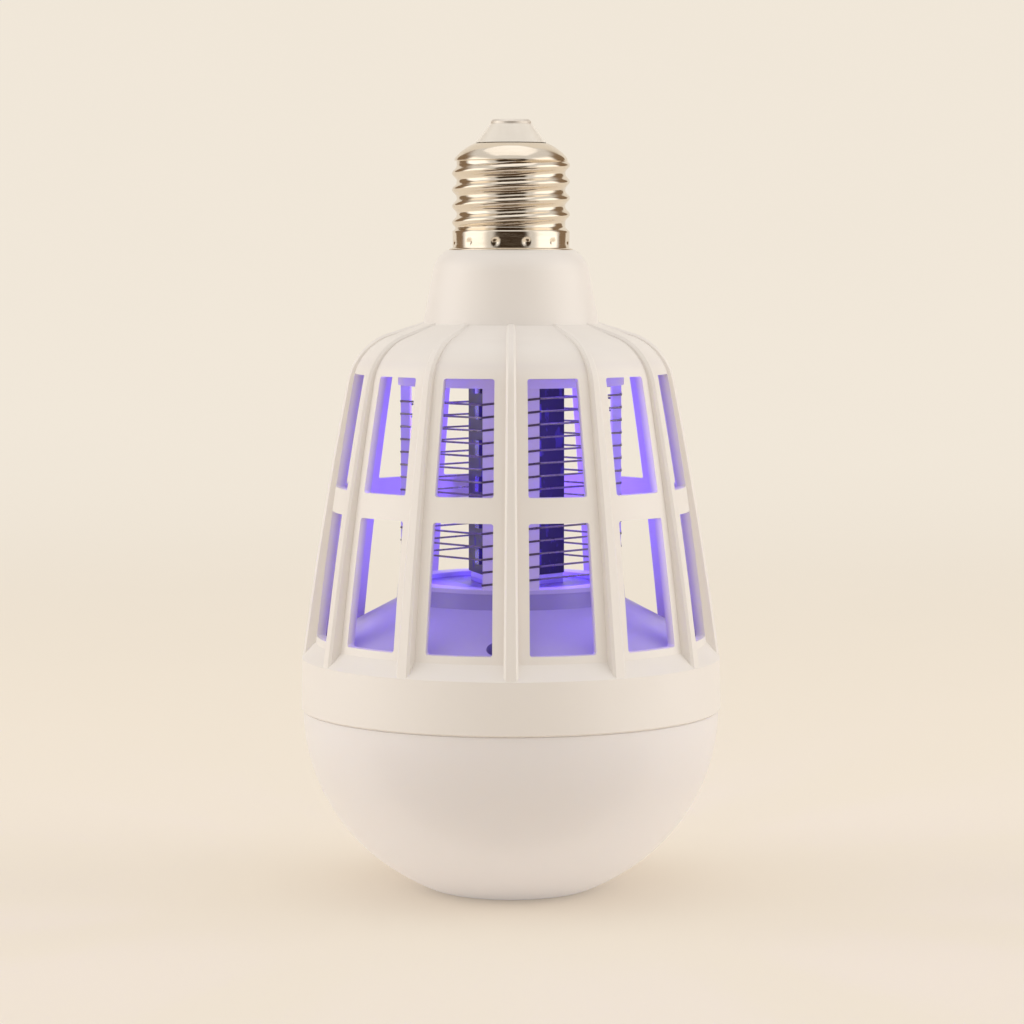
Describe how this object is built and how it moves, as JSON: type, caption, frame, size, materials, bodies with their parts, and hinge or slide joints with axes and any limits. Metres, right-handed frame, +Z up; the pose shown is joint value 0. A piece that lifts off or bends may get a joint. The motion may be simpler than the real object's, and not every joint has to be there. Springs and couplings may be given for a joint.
{
  "type": "insect killer light bulb",
  "caption": "Screw-cap lamp with a ribbed windowed cage round a lit insect grid, above a milky light dome.",
  "frame": {"origin": "centre of the diffuser's flat foot", "axes": "+Z up along the lamp's axis towards the screw cap, -Y towards the front rib"},
  "size_m": [0.094, 0.094, 0.1716],
  "materials": {
    "housing_white": "satin moulded",
    "diffuser_milk": "milky satin",
    "inner_white": "satin moulded",
    "nickel_plate": "polished",
    "insulator_white": "gloss",
    "contact_metal": "satin",
    "grid_steel": "drawn wire",
    "screw_steel": "zinc plated",
    "lamp_board": "dark solder mask",
    "uv_lamp": "lit violet",
    "white_lamp": "phosphor",
    "board_aluminium": "satin",
    "driver_laminate": "solder mask",
    "capacitor_sleeve": "sleeve",
    "film_block": "moulded",
    "ferrite": "matt",
    "chip_black": "moulded",
    "resistor_body": "lacquered",
    "lead_sleeve": "insulated wire"
  },
  "bodies": {
    "root": {"cage_housing": "housing_white", "diffuser_dome": "diffuser_milk", "cap_shell": "nickel_plate", "cap_insulator": "insulator_white", "centre_contact": "contact_metal", "platform": "inner_white", "platform_screws": "screw_steel", "grid_former": "inner_white", "grid_wire_live": "grid_steel", "grid_wire_return": "grid_steel", "lamp_mast": "inner_white", "uv_board_1": "lamp_board", "uv_board_2": "lamp_board", "uv_board_3": "lamp_board", "uv_leds_1": "uv_lamp", "uv_leds_2": "uv_lamp", "uv_leds_3": "uv_lamp", "light_board": "board_aluminium", "white_leds": "white_lamp", "driver_tray": "inner_white", "tray_screws": "screw_steel", "former_screws": "screw_steel", "driver_board": "driver_laminate", "bulk_capacitor": "capacitor_sleeve", "transformer": "ferrite", "film_capacitors": "film_block", "bridge_rectifier": "chip_black", "driver_chip": "chip_black", "fuse_resistor": "resistor_body", "contact_lead": "lead_sleeve", "shell_lead": "lead_sleeve", "grid_leads": "lead_sleeve", "uv_leads": "lead_sleeve", "white_leads": "lead_sleeve"}
  },
  "joints": []
}
